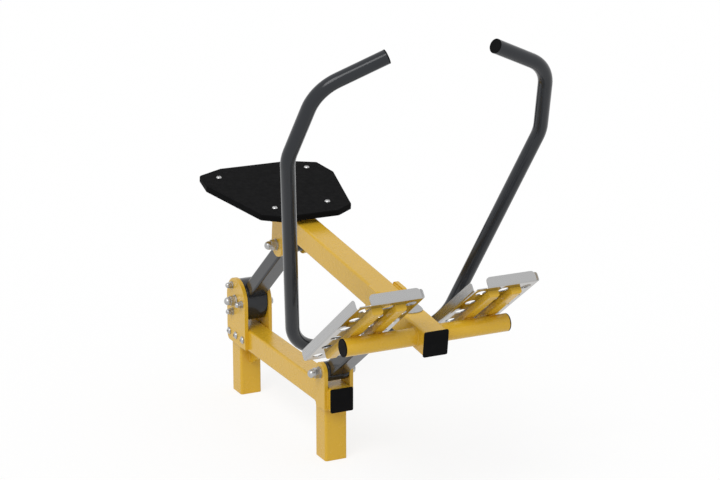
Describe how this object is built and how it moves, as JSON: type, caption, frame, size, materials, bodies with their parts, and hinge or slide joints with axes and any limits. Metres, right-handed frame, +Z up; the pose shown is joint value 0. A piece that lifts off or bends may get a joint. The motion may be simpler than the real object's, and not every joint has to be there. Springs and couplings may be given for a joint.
{
  "type": "outdoor rowing machine",
  "caption": "Fixed park rowing machine: seat beam with foot plates carried on two swing arms over a ground-anchored base, driven by curved handlebars.",
  "frame": {"origin": "middle of the rear leg's foot, on the ground", "axes": "+X forward, the way the rower faces; +Z up; +Y to the rower's left"},
  "size_m": [1.2063, 0.668, 1.1621],
  "materials": {
    "yellow_paint": "gloss powder coat",
    "dark_grey_paint": "satin powder coat",
    "bright_steel": "bright cold-rolled sheet",
    "stainless_fasteners": "bright stainless",
    "black_caps": "moulded black plastic",
    "black_board": "black plastic board, fine grain",
    "bearing_steel": "ground steel",
    "stop_rubber": "moulded rubber",
    "bush_nylon": "machined nylon"
  },
  "bodies": {
    "base": {"base_beam": "yellow_paint", "rear_leg": "yellow_paint", "front_leg": "yellow_paint", "leg_foot_plates": "yellow_paint", "leg_gussets": "yellow_paint", "base_beam_front_cap": "black_caps", "base_beam_rear_cap": "black_caps", "rear_pivot_plate_right": "yellow_paint", "rear_pivot_plate_left": "yellow_paint", "front_pivot_plate_right": "yellow_paint", "front_pivot_plate_left": "yellow_paint", "base_pivot_bolts": "stainless_fasteners", "base_pivot_cap_nuts": "stainless_fasteners", "base_pivot_washers": "stainless_fasteners", "stop_bolts": "stainless_fasteners", "stop_bolt_cap_nuts": "stainless_fasteners", "plate_fixing_bolts": "stainless_fasteners", "plate_fixing_nuts": "stainless_fasteners", "rear_plate_washers": "stainless_fasteners", "stop_buffers": "stop_rubber", "base_pivot_sleeves": "bearing_steel"},
    "rear_arm": {"rear_drum": "dark_grey_paint", "rear_drum_hub": "dark_grey_paint", "rear_drum_stop_webs": "dark_grey_paint", "rear_drum_bearings": "bearing_steel", "rear_arm_tube": "dark_grey_paint", "rear_arm_top_housing": "dark_grey_paint", "rear_arm_top_bush": "bush_nylon"},
    "front_arm": {"front_arm_foot_housing": "dark_grey_paint", "front_arm_foot_bearings": "bearing_steel", "front_arm_tube": "dark_grey_paint", "front_arm_top_housing": "dark_grey_paint", "front_arm_top_bearings": "bearing_steel", "left_handlebar": "dark_grey_paint", "right_handlebar": "dark_grey_paint", "left_handlebar_cap": "black_caps", "right_handlebar_cap": "black_caps"},
    "seat_carriage": {"seat_beam": "yellow_paint", "seat_beam_front_cap": "black_caps", "seat_beam_rear_cap": "black_caps", "rear_clevis_plate_right": "yellow_paint", "rear_clevis_plate_left": "yellow_paint", "front_clevis_plate_right": "yellow_paint", "front_clevis_plate_left": "yellow_paint", "clevis_bolts": "stainless_fasteners", "clevis_cap_nuts": "stainless_fasteners", "clevis_washers": "stainless_fasteners", "front_clevis_sleeves": "bearing_steel", "seat_board": "black_board", "seat_support_plate": "yellow_paint", "seat_risers": "yellow_paint", "seat_bolts": "stainless_fasteners", "seat_nuts": "stainless_fasteners", "name_plate": "bright_steel", "cross_tube": "yellow_paint", "cross_tube_caps": "black_caps", "foot_plate_right": "bright_steel", "foot_plate_left": "bright_steel", "foot_plate_bars": "yellow_paint", "foot_plate_bolts": "stainless_fasteners"}
  },
  "joints": [
    {"name": "row_stroke", "type": "hinge", "parent": "base", "child": "front_arm", "pos_m": [0.562, 0, 0.237], "axis": [0, -1, 0], "range_deg": [0, 42]},
    {"name": "rear_arm_swing", "type": "hinge", "parent": "base", "child": "rear_arm", "pos_m": [0.0245, 0, 0.271], "axis": [0, -1, 0], "range_deg": [0, 40.4]},
    {"name": "seat_carriage_pivot", "type": "hinge", "parent": "front_arm", "child": "seat_carriage", "pos_m": [0.84293, 0, 0.44435], "axis": [0, -1, 0], "range_deg": [-41.5, 0]}
  ],
  "couplings": [
    {"joint": "rear_arm_swing", "follows": "row_stroke", "ratio": 0.947},
    {"joint": "seat_carriage_pivot", "follows": "row_stroke", "ratio": -0.9715}
  ]
}
